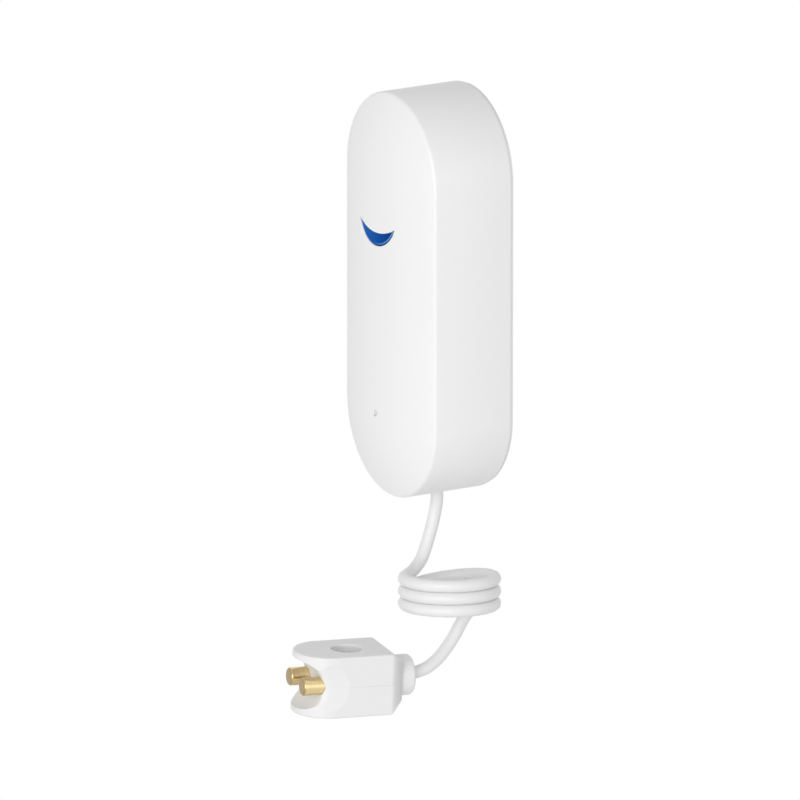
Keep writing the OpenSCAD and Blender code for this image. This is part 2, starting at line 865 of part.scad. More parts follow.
module head_solid() {
    translate([probe_straight, 0, 0]) upright(probe_w, -probe_h / 2, probe_h / 2);
    intersection() {
        translate([0, 0, -probe_h / 2]) linear_extrude(probe_h)
            polygon([[-probe_taper, probe_r - probe_taper_in], [0, probe_r], [probe_straight, probe_r],
                     [probe_straight, -probe_r], [0, -probe_r], [-probe_taper, -probe_r + probe_taper_in]]);
        translate([0, probe_w, 0]) rotate([90, 0, 0]) linear_extrude(2 * probe_w)
            polygon([[-probe_taper, probe_h / 2 - taper_down], [0, probe_h / 2], [probe_len, probe_h / 2],
                     [probe_len, -probe_h / 2], [0, -probe_h / 2], [-probe_taper, -probe_h / 2 + taper_down]]);
    }
}

// The scoop keeps one round section across the head, steep at each side and bowed out round the pins
function scoop_x(y) =
    let (rise = scoop_slope * max(probe_r - abs(y), 0))
    scoop_side_x + rise / pow(1 + pow(rise / scoop_bulge, scoop_power), 1 / scoop_power);

module scoop() {
    stations = concat([-probe_r - cut], [for (i = [0 : scoop_steps]) -probe_r * cos(180 * i / scoop_steps)],
                      [probe_r + cut]);
    points = [for (y = stations, k = [0 : scoop_sides - 1])
        [scoop_x(y) + scoop_r * cos(360 * k / scoop_sides), y, scoop_r * sin(360 * k / scoop_sides)]];
    count = len(stations);
    walls = [for (i = [0 : count - 2], k = [0 : scoop_sides - 1])
        let (a = i * scoop_sides + k, b = i * scoop_sides + (k + 1) % scoop_sides)
        each [[a, b, a + scoop_sides], [b, b + scoop_sides, a + scoop_sides]]];
    last = (count - 1) * scoop_sides;
    near_cap = [for (k = [1 : scoop_sides - 2]) [0, k + 1, k]];
    far_cap = [for (k = [1 : scoop_sides - 2]) [last, last + k, last + k + 1]];
    polyhedron(points, concat(walls, near_cap, far_cap));
}

module head_cavity() {
    difference() {
        box_between([0, -probe_r + probe_skin, -probe_h / 2 + probe_skin],
                    [cavity_front, probe_r - probe_skin, probe_h / 2 - probe_skin]);
        translate([fixing_x, 0, 0]) upright(fixing_head_d + 2 * fixing_skin, -probe_h, probe_h);
    }
}

module probe_half(side) {
    difference() {
        intersection() {
            head_solid();
            box_between([-probe_taper - cut, -probe_w, side > 0 ? 0 : -probe_h],
                        [probe_len + cut, probe_w, side > 0 ? probe_h : 0]);
        }
        scoop();
        head_cavity();
        translate([fixing_x, 0, 0]) {
            upright(fixing_d, -probe_h, probe_h);
            upright(fixing_head_d, probe_h / 2 - fixing_head_h, probe_h);
        }
        lying(collar_neck_d + 2 * fit, -probe_taper - cut, cut);
        for (sy = [-1, 1]) translate([0, sy * pin_pitch / 2, 0])
            lying(pin_d + 2 * fit, cavity_front - fit, probe_len);
    }
}

module probe_upper_half() {
    color(white_abs) at_probe() probe_half(1);
}

module probe_lower_half() {
    color(white_abs) at_probe() probe_half(-1);
}

module sensing_pin(side) {
    color(gold) at_probe() translate([0, side * pin_pitch / 2, 0]) {
        lying(pin_d, pin_back_x, pin_tip_x - pin_chamfer);
        translate([pin_tip_x - pin_chamfer, 0, 0]) rotate([0, 90, 0])
            cylinder(d1 = pin_d, d2 = pin_d - 2 * pin_chamfer, h = pin_chamfer);
        lying(pin_tail_d, cavity_front, pin_back_x + fit);
    }
}

module probe_pin_left() {
    sensing_pin(-1);
}

module probe_pin_right() {
    sensing_pin(1);
}

module probe_collar() {
    end = -probe_taper - collar_len;
    color(white_abs) at_probe() {
        rotate([0, 90, 0]) rotate_extrude() {
            difference() {
                translate([0, end]) square([collar_d / 2, collar_len]);
                translate([collar_d / 2 - collar_round, end]) square(collar_round);
            }
            translate([collar_d / 2 - collar_round, end + collar_round]) intersection() {
                circle(collar_round);
                translate([0, -collar_round]) square(collar_round);
            }
        }
        lying(collar_neck_d, -probe_taper - fit, fit);
        lying(collar_flange_d, fit, collar_flange_t);
    }
}

module probe_leads() {
    column = fixing_head_d / 2 + fixing_skin;
    outer = (column + probe_r - probe_skin) / 2;
    color(lead_red) at_probe() for (sy = [-1, 1]) {
        route = [[collar_flange_t, sy * probe_lead_x, 0],
                 [collar_flange_t + lead_d, sy * probe_lead_x, 0],
                 [fixing_x - column, sy * (outer - 1.2), 0],
                 [fixing_x - column / 2, sy * outer, 0],
                 [fixing_x + column / 3, sy * outer, 0],
                 [cavity_front - lead_d, sy * pin_pitch / 2, 0],
                 [cavity_front, sy * pin_pitch / 2, 0]];
        tube(smooth_path(route, cord_steps), lead_d, coil_sides, [0, 0, 1]);
    }
}

wall_plate();
adhesive_pad();
rear_cover();
cover_seal();
cover_screws();
front_shell();
indicator_lens();
status_led();
circuit_board();
board_screws();
radio_shield();
radio_antenna();
reset_switch();
reset_plunger();
battery_tray();
battery_cell_left();
battery_cell_right();
spring_contact();
plus_contact();
bridge_contact();
probe_header();
probe_plug();
inner_leads();
inner_cord();
cord_clamp();
clamp_screws();
cord_grommet();
cord_upper();
cord_coil();
cord_lower();
probe_collar();
probe_upper_half();
probe_lower_half();
probe_pin_left();
probe_pin_right();
probe_leads();
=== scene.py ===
import json
import math

import bpy
from mathutils import Matrix, Vector


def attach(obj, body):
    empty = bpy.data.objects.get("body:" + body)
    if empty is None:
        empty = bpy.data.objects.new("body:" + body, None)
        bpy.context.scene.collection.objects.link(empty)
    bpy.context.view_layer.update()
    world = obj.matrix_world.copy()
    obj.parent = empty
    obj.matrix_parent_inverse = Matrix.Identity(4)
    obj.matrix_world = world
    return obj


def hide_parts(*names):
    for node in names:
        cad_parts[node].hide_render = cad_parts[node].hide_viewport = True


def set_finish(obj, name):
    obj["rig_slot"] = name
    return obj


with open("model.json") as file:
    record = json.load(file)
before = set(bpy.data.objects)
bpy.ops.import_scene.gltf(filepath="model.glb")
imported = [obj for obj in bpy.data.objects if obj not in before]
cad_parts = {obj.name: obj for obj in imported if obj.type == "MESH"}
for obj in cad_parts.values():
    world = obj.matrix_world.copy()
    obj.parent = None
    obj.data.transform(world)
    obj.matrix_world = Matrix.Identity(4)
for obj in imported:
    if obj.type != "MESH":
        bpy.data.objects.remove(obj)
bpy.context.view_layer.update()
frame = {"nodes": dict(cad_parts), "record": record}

# Sizes in millimetres, as in the part's source
MM = 0.001

# Body
BODY_R = 19.6
SPINE = 54.8
RIM_DEPTH = 21.0
CROWN_H = 4.2
CROWN_R = (BODY_R ** 2 + CROWN_H ** 2) / (2 * CROWN_H)
SHELL_BACK = 1.0
WALL = 1.8
CAVITY_FLOOR = 20.0
RIM_ROUND = 0.55
BACK_ROUND = 0.35

# Openings in the front: the crescent for the lens, and the hole over the reset switch
LENS_HALF_W = 7.5
LENS_DROP = 5.0
LENS_BAND = 3.0
LENS_INNER_DROP = LENS_DROP - LENS_BAND
LENS_BOTTOM_Z = 12.2
LENS_OUTER_R = (LENS_HALF_W ** 2 + LENS_DROP ** 2) / (2 * LENS_DROP)
LENS_INNER_R = (LENS_HALF_W ** 2 + LENS_INNER_DROP ** 2) / (2 * LENS_INNER_DROP)
LENS_OUTER_Z = LENS_BOTTOM_Z + LENS_OUTER_R
LENS_INNER_Z = LENS_BOTTOM_Z + LENS_BAND + LENS_INNER_R
RESET_HOLE_Z = -27.0
RESET_HOLE_R = 0.65
POCKET_GAP = 0.05
OPENING_ROUND = 0.12
TIP_MARGIN = 0.4

# Lead: places are from the point where it leaves the body
CORD_D = 2.9
CORD_EXIT = Vector((0, -8.9, -47))
COIL_CENTER = CORD_EXIT + Vector((12.5, -4.1, -20.5))
COIL_R = 10.3
COIL_PITCH = 2.84
COIL_YAW = math.radians(59.2)
COIL_TILT = math.radians(5.5)
COIL_FROM = 205
COIL_TO = -740
COIL_STEPS = 66
LEAD_UPPER = ((0, 0, 0), (0, 0, -2.9), (-0.1, -0.7, -6.8), (0.2, -1.7, -9.5), (0.5, -2.8, -12.2),
              (1.3, -4.8, -15.6), (2.4, -7.5, -17.5))
LEAD_LOWER = ((11.1, 6.2, -24.5), (8.1, 5.7, -26.3), (5.9, 4.7, -28.6), (4.9, 3.5, -31.2), (4.6, 2, -33.9),
              (4.8, -0.2, -36.4), (5.2, -3.1, -38.8), (5.4, -6.4, -40.4))
LEAD_SEAT = 0.4
LEAD_STEPS = 3

# Probe head: X runs along its pins from the shoulder, Y across it, Z up
PROBE_PLACE = CORD_EXIT + Vector((5, -10.1, -41.2))
PROBE_YAW = math.radians(-100.8)
PROBE_PITCH = math.radians(2)
PROBE_BACK = 6.7
PROBE_R = 7.75
PROBE_ROUND = 0.45
PARTING_GROOVE = 0.15
NOSE_X = 13.6
SCOOP_X = 16.4
SCOOP_R = 5.8
SCOOP_BACK_X = SCOOP_X - SCOOP_R
PIN_Y = 4.4
PIN_TIP_X = 21.05
PIN_HOLE_R = 2.15
CAVITY_HALF_W = 6.5
CAVITY_HALF_H = 5.8
CAVITY_FRONT_X = 12.7
PROBE = (Matrix.Translation(PROBE_PLACE) @ Matrix.Rotation(PROBE_YAW, 4, "Z")
         @ Matrix.Rotation(-PROBE_PITCH, 4, "Y") @ Matrix.Translation((PROBE_BACK, 0, 0)))
TO_PROBE = PROBE.inverted()

# How far a point may lie off a face, off a curved face and off a rim, and still count as on it
TOUCH = 0.05
CURVE_TOUCH = 0.03
RIM_TOUCH = 0.02

# Edges bent more than this are rounded, and faces that meet at less than this are shaded as one
SHARP_ANGLE = math.radians(35)
SMOOTH_ANGLE = math.radians(40)


def axes(azimuth, elevation):
    right = Vector((math.cos(azimuth), math.sin(azimuth), 0))
    front = Vector((math.sin(azimuth) * math.cos(elevation), -math.cos(azimuth) * math.cos(elevation),
                    math.sin(elevation)))
    return right, front.cross(right), front


# Camera: the photograph is a long-lens view from the right and a little above

VIEW_AZIMUTH = math.radians(59.2)
VIEW_ELEVATION = math.radians(15.28)
VIEW_MIDDLE = Vector((0, -10.7, 0))
VIEW_DISTANCE = 3534
VIEW_RIGHT = -6.81
VIEW_UP = -25.07
FOCAL_LENGTH = 702.9
SENSOR_W = 36
CLIP_NEAR = 0.1
CLIP_FAR = 50


def make_camera():
    right, up, front = axes(VIEW_AZIMUTH, VIEW_ELEVATION)
    place = (VIEW_MIDDLE + front * VIEW_DISTANCE + right * VIEW_RIGHT + up * VIEW_UP) * MM
    turn = Matrix((right, up, front)).transposed().to_4x4()
    data = bpy.data.cameras.new("photo_camera")
    data.sensor_width = SENSOR_W
    data.lens = FOCAL_LENGTH
    data.clip_start = CLIP_NEAR
    data.clip_end = CLIP_FAR
    camera = bpy.data.objects.new("photo_camera", data)
    camera.matrix_world = Matrix.Translation(place) @ turn
    bpy.context.scene.collection.objects.link(camera)
    bpy.context.scene.camera = camera


make_camera()


# Modelling by hand: small helpers

def deselect_all():
    if bpy.context.object and bpy.context.object.mode != "OBJECT":
        bpy.ops.object.mode_set(mode="OBJECT")
    bpy.ops.object.select_all(action="DESELECT")


def pick(piece):
    deselect_all()
    piece.select_set(True)
    bpy.context.view_layer.objects.active = piece


def named(name):
    piece = bpy.context.object
    piece.name = name
    piece.data.name = name
    bpy.ops.object.transform_apply(location=True, rotation=True, scale=True)
    return piece


def edit(piece, kind):
    pick(piece)
    bpy.ops.object.mode_set(mode="EDIT")
    bpy.ops.mesh.select_mode(type=kind)


def done():
    bpy.ops.object.mode_set(mode="OBJECT")


def select_verts(piece, wanted):
    edit(piece, "VERT")
    bpy.ops.mesh.select_all(action="DESELECT")
    done()
    for vert in piece.data.vertices:
        vert.select = wanted(vert.co / MM)
    bpy.ops.object.mode_set(mode="EDIT")


def select_edges(piece, wanted):
    edit(piece, "EDGE")
    bpy.ops.mesh.select_all(action="DESELECT")
    done()
    verts = piece.data.vertices
    for edge in piece.data.edges:
        a, b = (verts[i].co / MM for i in edge.vertices)
        edge.select = wanted(a, b)
    bpy.ops.object.mode_set(mode="EDIT")


def apply_modifier(piece, kind, **settings):
    pick(piece)
    modifier = piece.modifiers.new(kind.lower(), kind)
    for name, value in settings.items():
        setattr(modifier, name, value)
    bpy.ops.object.modifier_apply(modifier=modifier.name)


def cut_away(piece, cutter):
    apply_modifier(piece, "BOOLEAN", operation="DIFFERENCE", object=cutter, solver="EXACT")
    bpy.data.objects.remove(cutter)


def smooth(piece):
    pick(piece)
    bpy.ops.object.shade_smooth_by_angle(angle=SMOOTH_ANGLE)


def hold(piece, body, slot, *nodes):
    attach(piece, body)
    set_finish(piece, slot)
    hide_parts(*nodes)


def off_spine(point):
    return math.hypot(point.x, max(abs(point.z) - SPINE / 2, 0))


# Lead: one smooth line from the body through the coil to the probe

def through(points):
    line = []
    for i in range(len(points) - 1):
        a = points[max(i - 1, 0)]
        b = points[i]
        c = points[i + 1]
        d = points[min(i + 2, len(points) - 1)]
        for step in range(LEAD_STEPS):
            t = step / LEAD_STEPS
            line.append(0.5 * (2 * b + (c - a) * t + (2 * a - 5 * b + 4 * c - d) * t * t
                               + (3 * b - a - 3 * c + d) * t ** 3))
    line.append(points[-1])
    return line


# Each turn is level over its front half and drops by one pitch over its back half
def coil_line():
    right, up, front = axes(COIL_YAW, COIL_TILT)
    line = []
    for i in range(COIL_STEPS + 1):
        angle = COIL_FROM + (COIL_TO - COIL_FROM) * i / COIL_STEPS
        turns = (180 - angle) / 360
        part = turns - math.floor(turns)
        drop = math.floor(turns)
        if part > 0.5:
            drop += (1 - math.cos(math.radians((part - 0.5) * 360))) / 2
        angle = math.radians(angle)
        line.append(COIL_CENTER + COIL_R * (math.cos(angle) * right + math.sin(angle) * front)
                    + COIL_PITCH * (1 - drop) * up)
    return line


def lead_line():
    upper = [CORD_EXIT + Vector(place) for place in LEAD_UPPER]
    lower = [CORD_EXIT + Vector(place) for place in LEAD_LOWER]
    along = Vector((math.cos(PROBE_YAW), math.sin(PROBE_YAW), math.tan(PROBE_PITCH)))
    lower.append(PROBE_PLACE + along * LEAD_SEAT)
    coil = coil_line()
    head = through(upper + coil[:2])
    tail = through(coil[-2:] + lower)
    return head[:-1] + coil[1:-2] + tail


def make_lead():
    line = [point * MM for point in lead_line()]
    data = bpy.data.curves.new("lead", "CURVE")
    data.dimensions = "3D"
    data.bevel_depth = 1
    data.bevel_resolution = 6
    data.use_fill_caps = True
    spline = data.splines.new("POLY")
    spline.points.add(len(line) - 1)
    for spot, point in zip(spline.points, line):
        spot.co = (*point, 1)
        spot.radius = CORD_D / 2 * MM
    spline.use_smooth = True
    lead = bpy.data.objects.new("lead", data)
    bpy.context.scene.collection.objects.link(lead)
    hold(lead, "sensor", "lead_jacket", "cord_upper", "cord_coil", "cord_lower")
    return lead


lead = make_lead()


# Front shell: a pill outline, drawn in ring by ring up to the crown, hollow behind

RIM_SIDES = 128
CROWN_RINGS = 16
CROWN_INNER_R = 0.5
SPINE_CUTS = 27
RIM_STEPS = 4
BACK_STEPS = 3
OPENING_STEPS = 2
LENS_CUT_FRONT = 30
LENS_CUT_OVER = 4
LENS_OUTER_SIDES = 128
LENS_INNER_SIDES = 192
RESET_CUT_DEPTH = 25
RESET_CUT_LENGTH = 6
RESET_SIDES = 32


def crown_rise(r):
    return math.sqrt(CROWN_R ** 2 - r ** 2) - (CROWN_R - CROWN_H)


def on_outline(*ends):
    return min(off_spine(end) for end in ends) > BODY_R - TOUCH


# The edges of both openings on the crown, short of the tips of the crescent, where a rounding would fold
def on_opening_rim(*ends):
    for end in ends:
        off_crown = abs(-end.y - RIM_DEPTH - crown_rise(off_spine(end)))
        if off_crown > CURVE_TOUCH or abs(end.x) > LENS_HALF_W - TIP_MARGIN:
            return False
        gaps = (math.hypot(end.x, end.z - LENS_OUTER_Z) - LENS_OUTER_R - POCKET_GAP,
                math.hypot(end.x, end.z - LENS_INNER_Z) - LENS_INNER_R + POCKET_GAP,
                math.hypot(end.x, end.z - RESET_HOLE_Z) - RESET_HOLE_R)
        if min(abs(gap) for gap in gaps) > RIM_TOUCH:
            return False
    return True


def front_rod(name, sides, radius, length, depth, z):
    deselect_all()
    bpy.ops.mesh.primitive_cylinder_add(vertices=sides, radius=radius * MM, depth=length * MM,
                                        location=(0, -depth * MM, z * MM), rotation=(math.pi / 2, 0, 0))
    return named(name)


def crescent_prism():
    length = LENS_CUT_FRONT - RIM_DEPTH
    middle = (LENS_CUT_FRONT + RIM_DEPTH) / 2
    prism = front_rod("lens_cut", LENS_OUTER_SIDES, LENS_OUTER_R + POCKET_GAP, length, middle, LENS_OUTER_Z)
    hollow = front_rod("lens_cut_hollow", LENS_INNER_SIDES, LENS_INNER_R - POCKET_GAP, length + LENS_CUT_OVER,
                       middle, LENS_INNER_Z)
    cut_away(prism, hollow)
    return prism


def make_front_shell():
    half_step = math.pi / RIM_SIDES
    deselect_all()
    bpy.ops.mesh.primitive_circle_add(vertices=RIM_SIDES, radius=BODY_R * MM, fill_type="NGON",
                                      location=(0, -RIM_DEPTH * MM, 0), rotation=(math.pi / 2, -half_step, 0))
    shell = named("front_shell_skin")
    for end in (-1, 1):
        select_verts(shell, lambda p: p.z * end > 0)
        bpy.ops.transform.translate(value=(0, 0, end * SPINE / 2 * MM))
    edit(shell, "FACE")
    bpy.ops.mesh.select_all(action="SELECT")
    radii = [BODY_R + (CROWN_INNER_R - BODY_R) * i / CROWN_RINGS for i in range(CROWN_RINGS + 1)]
    for outer, inner in zip(radii, radii[1:]):
        rise = crown_rise(inner) - crown_rise(outer)
        bpy.ops.mesh.inset(thickness=(outer - inner) * MM, depth=rise * MM)
    select_edges(shell, on_outline)
    to_back = (0, (RIM_DEPTH - SHELL_BACK) * MM, 0)
    bpy.ops.mesh.extrude_region_move(TRANSFORM_OT_translate={"value": to_back})
    bpy.ops.mesh.edge_face_add()
    bpy.ops.mesh.select_mode(type="FACE")
    bpy.ops.mesh.inset(thickness=WALL * MM, depth=0)
    to_floor = (0, (SHELL_BACK - CAVITY_FLOOR) * MM, 0)
    bpy.ops.mesh.extrude_region_move(TRANSFORM_OT_translate={"value": to_floor})
    bpy.ops.mesh.select_all(action="SELECT")
    bpy.ops.mesh.normals_make_consistent(inside=False)
    select_edges(shell, lambda a, b: abs(a.z - b.z) > SPINE / 2 and off_spine(a) < BODY_R - TOUCH)
    bpy.ops.mesh.subdivide(number_cuts=SPINE_CUTS)
    for depth, width, steps in ((RIM_DEPTH, RIM_ROUND, RIM_STEPS), (SHELL_BACK, BACK_ROUND, BACK_STEPS)):
        select_edges(shell, lambda a, b: abs(a.y + depth) < RIM_TOUCH and abs(b.y + depth) < RIM_TOUCH
                     and on_outline(a, b))
        bpy.ops.mesh.bevel(offset=width * MM, segments=steps, affect="EDGES")
    done()
    cut_away(shell, crescent_prism())
    cut_away(shell, front_rod("reset_cut", RESET_SIDES, RESET_HOLE_R, RESET_CUT_LENGTH, RESET_CUT_DEPTH,
                              RESET_HOLE_Z))
    select_edges(shell, on_opening_rim)
    bpy.ops.mesh.bevel(offset=OPENING_ROUND * MM, segments=OPENING_STEPS, affect="EDGES", loop_slide=False)
    done()
    smooth(shell)
    hold(shell, "sensor", "white_abs", "front_shell")
    return shell


shell = make_front_shell()


# Other moulded and turned pieces start from the CAD solid, merged, with their edges rounded

MERGE_GAP = 0.002
FLAT_ANGLE = math.radians(1)
ROUND_STEPS = 3


def rounded_copy(node, name, width, slot, body="sensor", wanted=None, crease=None):
    source = frame["nodes"][node]
    piece = source.copy()
    piece.data = source.data.copy()
    piece.name = name
    piece.data.name = name
    for key in list(piece.keys()):
        del piece[key]
    piece.parent = None
    piece.matrix_world = Matrix.Identity(4)
    bpy.context.scene.collection.objects.link(piece)
    edit(piece, "EDGE")
    bpy.ops.mesh.select_all(action="SELECT")
    bpy.ops.mesh.remove_doubles(threshold=MERGE_GAP * MM)
    bpy.ops.mesh.dissolve_limited(angle_limit=FLAT_ANGLE)
    bpy.ops.mesh.select_all(action="DESELECT")
    bpy.ops.mesh.edges_select_sharp(sharpness=SHARP_ANGLE)
    done()
    weights = piece.data.attributes.new("bevel_weight_edge", "FLOAT", "EDGE")
    verts = piece.data.vertices
    for edge in piece.data.edges:
        if edge.select:
            a, b = (verts[i].co / MM for i in edge.vertices)
            weights.data[edge.index].value = 1 if wanted is None else wanted(a, b)
    apply_modifier(piece, "BEVEL", width=width * MM, segments=ROUND_STEPS, limit_method="WEIGHT",
                   use_clamp_overlap=True, loop_slide=False)
    smooth(piece)
    if crease:
        select_edges(piece, crease)
        bpy.ops.mesh.mark_sharp()
        done()
    apply_modifier(piece, "WEIGHTED_NORMAL", keep_sharp=True, weight=100)
    hold(piece, body, slot, node)
    return piece


# The share of the full rounding that an edge gets: a fine groove where the halves part, none in the scoop
def probe_edge(a, b):
    a = TO_PROBE @ a
    b = TO_PROBE @ b
    height = max(abs(a.z), abs(b.z))
    if height < TOUCH:
        return PARTING_GROOVE if min(abs(a.y), abs(b.y)) > PROBE_R - TOUCH else 0
    if min(a.x, b.x) > SCOOP_BACK_X - TOUCH and height < SCOOP_R + RIM_TOUCH:
        return 0
    within = max(abs(a.y), abs(b.y)) < CAVITY_HALF_W and max(a.x, b.x) < CAVITY_FRONT_X
    return 0 if within and height < CAVITY_HALF_H else 1


# The edge of the scoop on the outer wall and the edges of the pin holes stay crisp
def crisp_edge(a, b):
    ends = (TO_PROBE @ a, TO_PROBE @ b)
    if all(abs(math.hypot(abs(end.y) - PIN_Y, end.z) - PIN_HOLE_R) < CURVE_TOUCH for end in ends):
        return True
    for end in ends:
        if end.x < SCOOP_BACK_X - TOUCH or abs(end.z) > SCOOP_R + RIM_TOUCH:
            return False
        if math.hypot(max(end.x - NOSE_X, 0), end.y) < PROBE_R - TOUCH:
            return False
    return True


upper_half = rounded_copy("probe_upper_half", "probe_top", PROBE_ROUND, "white_abs", wanted=probe_edge,
                          crease=crisp_edge)
lower_half = rounded_copy("probe_lower_half", "probe_base", PROBE_ROUND, "white_abs", wanted=probe_edge,
                          crease=crisp_edge)
collar = rounded_copy("probe_collar", "probe_strain_relief", 0.3, "lead_jacket")
pins = [rounded_copy("probe_pin_left", "sensing_pin_left", 0.12, "gold_plate"),
        rounded_copy("probe_pin_right", "sensing_pin_right", 0.12, "gold_plate")]
lens = rounded_copy("indicator_lens", "indicator_window", 0.35, "lens_acrylic")
grommet = rounded_copy("cord_grommet", "lead_grommet", 0.25, "lead_jacket")
cover = rounded_copy("rear_cover", "rear_cover_skin", 0.2, "plate_abs")
plate = rounded_copy("wall_plate", "wall_bracket", 0.3, "plate_abs", body="bracket")
cover_fixings = rounded_copy("cover_screws", "cover_fixings", 0.15, "zinc_steel")


# Materials

PER_METRE = 1000


def linear(hex_colour):
    channels = [int(hex_colour[i:i + 2], 16) / 255 for i in (1, 3, 5)]
    return [c / 12.92 if c <= 0.04045 else ((c + 0.055) / 1.055) ** 2.4 for c in channels] + [1]


def add(tree, kind, inputs=None, **settings):
    made = tree.nodes.new(kind)
    for name, value in settings.items():
        setattr(made, name, value)
    for name, value in (inputs or {}).items():
        if isinstance(value, bpy.types.NodeSocket):
            tree.links.new(value, made.inputs[name])
        else:
            made.inputs[name].default_value = value
    return made


def fresh(name):
    material = bpy.data.materials.new(name)
    material.use_nodes = True
    tree = material.node_tree
    surface = tree.nodes["Principled BSDF"]
    return material, tree, surface


def join(tree, surface, colour, roughness, normal):
    tree.links.new(colour, surface.inputs["Base Color"])
    tree.links.new(roughness, surface.inputs["Roughness"])
    tree.links.new(normal, surface.inputs["Normal"])


# Moulded plastic: an even tone with a slow drift in colour, and a fine eroded grain that softens its shine
def moulded(name, tone, shade, rough, grain_mm, grain_rise_mm, ior=1.52, drift_mm=35):
    material, tree, surface = fresh(name)
    place = add(tree, "ShaderNodeTexCoord").outputs["Object"]
    drift = add(tree, "ShaderNodeTexNoise", {"Vector": place, "Scale": PER_METRE / drift_mm, "Detail": 2})
    tint = add(tree, "ShaderNodeMix", {0: drift.outputs["Fac"], 6: linear(tone), 7: linear(shade)},
               data_type="RGBA")
    grain = add(tree, "ShaderNodeTexNoise", {"Vector": place, "Scale": PER_METRE / grain_mm, "Detail": 3})
    rise = add(tree, "ShaderNodeBump", {"Height": grain.outputs["Fac"], "Strength": 0.5,
                                        "Distance": grain_rise_mm * MM})
    sheen = add(tree, "ShaderNodeMapRange", {"Value": grain.outputs["Fac"], "To Min": rough - 0.05,
                                             "To Max": rough + 0.05})
    join(tree, surface, tint.outputs[2], sheen.outputs["Result"], rise.outputs["Normal"])
    surface.inputs["IOR"].default_value = ior
    return material


# Metal: a bright base with fine tool marks drawn out one way, which streak its highlights
def worked_metal(name, tone, shade, rough, mark_mm, mark_rise_mm):
    material, tree, surface = fresh(name)
    place = add(tree, "ShaderNodeTexCoord").outputs["Object"]
    lie = add(tree, "ShaderNodeMapping", {"Vector": place, "Scale": (1, 1, 12)}, vector_type="TEXTURE")
    marks = add(tree, "ShaderNodeTexNoise", {"Vector": lie.outputs["Vector"], "Scale": PER_METRE / mark_mm,
                                             "Detail": 4})
    tint = add(tree, "ShaderNodeMix", {0: marks.outputs["Fac"], 6: linear(tone), 7: linear(shade)},
               data_type="RGBA")
    rise = add(tree, "ShaderNodeBump", {"Height": marks.outputs["Fac"], "Strength": 0.4,
                                        "Distance": mark_rise_mm * MM})
    sheen = add(tree, "ShaderNodeMapRange", {"Value": marks.outputs["Fac"], "To Min": rough - 0.06,
                                             "To Max": rough + 0.06})
    join(tree, surface, tint.outputs[2], sheen.outputs["Result"], rise.outputs["Normal"])
    surface.inputs["Metallic"].default_value = 1
    return material


# The lens from left to right, over which its painted shading and painted highlight change, and the share of
# its outer band where the painted pale highlight line and the painted navy shade along the rim lie
LENS_SHADE_FROM = -7
LENS_SHADE_TO = 5
LENS_SHINE_FROM = -1.5
LENS_SHINE_TO = 6
LENS_EDGE_BAND = 1.1
LENS_HIGHLIGHT_LINE = (0.36, 0.58, 0.78)
LENS_SHADE_RIM = (0.72, 0.85)


# Polished acrylic over a dark chamber: deep blue with painted shading, paler at the left and deeper to the
# right, a painted navy shade along its rim, and a painted pale highlight line inside it, both stronger
# towards the right
def blue_acrylic():
    material, tree, surface = fresh("blue_acrylic_polished")
    place = add(tree, "ShaderNodeTexCoord").outputs["Object"]
    middle = (0, 0, LENS_OUTER_Z * MM)
    flat = add(tree, "ShaderNodeVectorMath", {0: place, 1: (1, 0, 1)}, operation="MULTIPLY")
    away = add(tree, "ShaderNodeVectorMath", {0: flat.outputs["Vector"], 1: middle}, operation="DISTANCE")
    x = add(tree, "ShaderNodeSeparateXYZ", {"Vector": place}).outputs["X"]
    # Painted shading across the lens: paler blue at the left, deeper blue to the right
    across = add(tree, "ShaderNodeMapRange", {"Value": x, "From Min": LENS_SHADE_FROM * MM,
                                              "From Max": LENS_SHADE_TO * MM})
    tint = add(tree, "ShaderNodeMix", {0: across.outputs["Result"], 6: linear("#0062B6"),
                                       7: linear("#003E8E")}, data_type="RGBA")
    edge = add(tree, "ShaderNodeMapRange", {"Value": away.outputs["Value"],
                                            "From Min": (LENS_OUTER_R - LENS_EDGE_BAND) * MM,
                                            "From Max": LENS_OUTER_R * MM})
    # Painted shade: a navy band along the outer rim, stronger towards the right
    shade_rim = add(tree, "ShaderNodeMapRange", {"Value": edge.outputs["Result"], "From Min": LENS_SHADE_RIM[0],
                                           "From Max": LENS_SHADE_RIM[1]})
    right = add(tree, "ShaderNodeMapRange", {"Value": x, "From Min": LENS_SHINE_FROM * MM,
                                             "From Max": LENS_SHINE_TO * MM})
    # Painted highlight: a pale line just inside the rim, stronger towards the right
    line = add(tree, "ShaderNodeValToRGB", {"Fac": edge.outputs["Result"]})
    start, peak, end = LENS_HIGHLIGHT_LINE
    line.color_ramp.elements[0].position = start
    line.color_ramp.elements[0].color = linear("#000000")
    line.color_ramp.elements[1].position = end
    line.color_ramp.elements[1].color = linear("#000000")
    line.color_ramp.elements.new(peak).color = linear("#FFFFFF")
    shade_rim_share = add(tree, "ShaderNodeMath", {0: shade_rim.outputs["Result"], 1: right.outputs["Result"]},
                    operation="MULTIPLY")
    highlight_share = add(tree, "ShaderNodeMath", {0: line.outputs["Color"], 1: right.outputs["Result"]},
                     operation="MULTIPLY")
    # Lay the painted navy shade and then the painted pale highlight over the blue
    shade_rimmed = add(tree, "ShaderNodeMix", {0: shade_rim_share.outputs[0], 6: tint.outputs[2], 7: linear("#00306E")},
                 data_type="RGBA")
    lit = add(tree, "ShaderNodeMix", {0: highlight_share.outputs[0], 6: shade_rimmed.outputs[2], 7: linear("#7DB2E6")},
              data_type="RGBA")
    tree.links.new(lit.outputs[2], surface.inputs["Base Color"])
    surface.inputs["Roughness"].default_value = 0.12
    surface.inputs["IOR"].default_value = 1.49
    surface.inputs["Specular IOR Level"].default_value = 0.02
    return material


# How far back from the tip of a pin its colour is painted darker, as a painted dark reflection
DARK_TIP_FROM = 0.55
DARK_TIP_FULL = 0.1
RING_MM = 0.3
RING_RISE = 0.003
